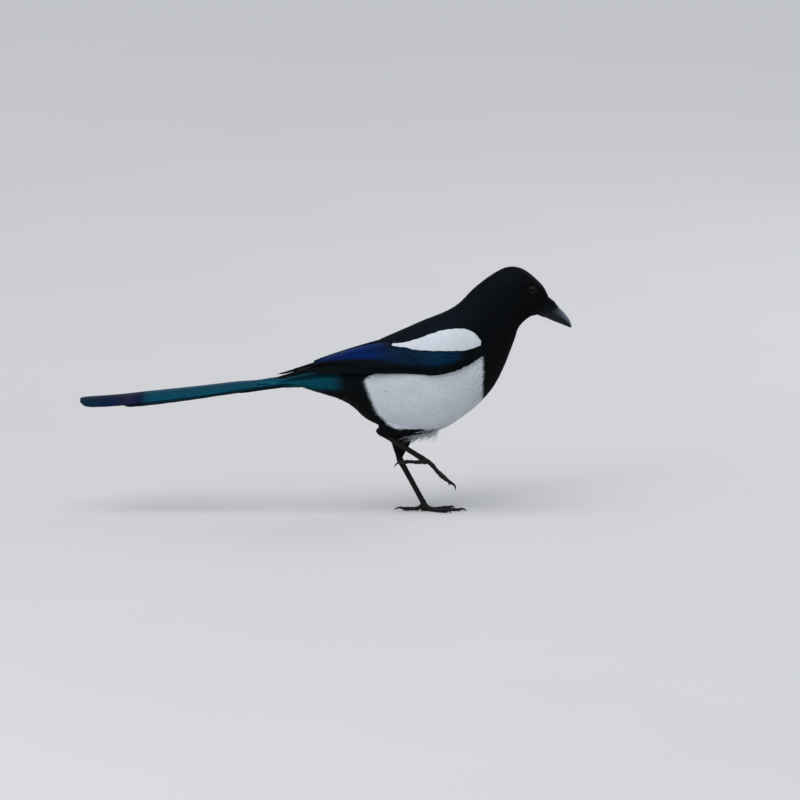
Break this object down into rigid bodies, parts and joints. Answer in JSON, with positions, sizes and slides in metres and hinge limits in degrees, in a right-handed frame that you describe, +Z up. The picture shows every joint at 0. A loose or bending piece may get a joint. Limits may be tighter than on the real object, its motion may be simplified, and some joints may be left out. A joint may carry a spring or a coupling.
{
  "type": "eurasian magpie model",
  "caption": "Life-size still model of a Eurasian magpie in mid stride, standing on one foot with the other foot raised, long tail held level.",
  "frame": {"origin": "on the ground, at the middle of the standing (left) foot's sole", "axes": "+X the way the bird faces, +Y its left side, +Z up"},
  "size_m": [0.4323, 0.072, 0.2171],
  "materials": {
    "black_plumage": "black feathers with a faint blue and purple gloss",
    "white_plumage": "soft white feathers",
    "wing_plumage": "black flight feathers with a deep blue gloss",
    "tail_plumage": "long feathers, blue-green with a purple band and a blue tip",
    "bill_horn": "black horn with a soft sheen",
    "leg_skin": "black scaly skin and claws",
    "eye": "wet, very dark brown"
  },
  "bodies": {
    "root": {"head": "black_plumage", "bill_upper": "bill_horn", "bill_lower": "bill_horn", "eye_left": "eye", "eye_right": "eye", "neck": "black_plumage", "breast": "black_plumage", "back": "black_plumage", "belly": "white_plumage", "vent": "black_plumage", "wing_left": "wing_plumage", "wing_right": "wing_plumage", "scapulars_left": "white_plumage", "scapulars_right": "white_plumage", "tail": "tail_plumage", "thigh_left": "black_plumage", "thigh_right": "black_plumage", "shank_left": "leg_skin", "shank_right": "leg_skin", "foot_left": "leg_skin", "foot_right": "leg_skin"}
  },
  "joints": []
}
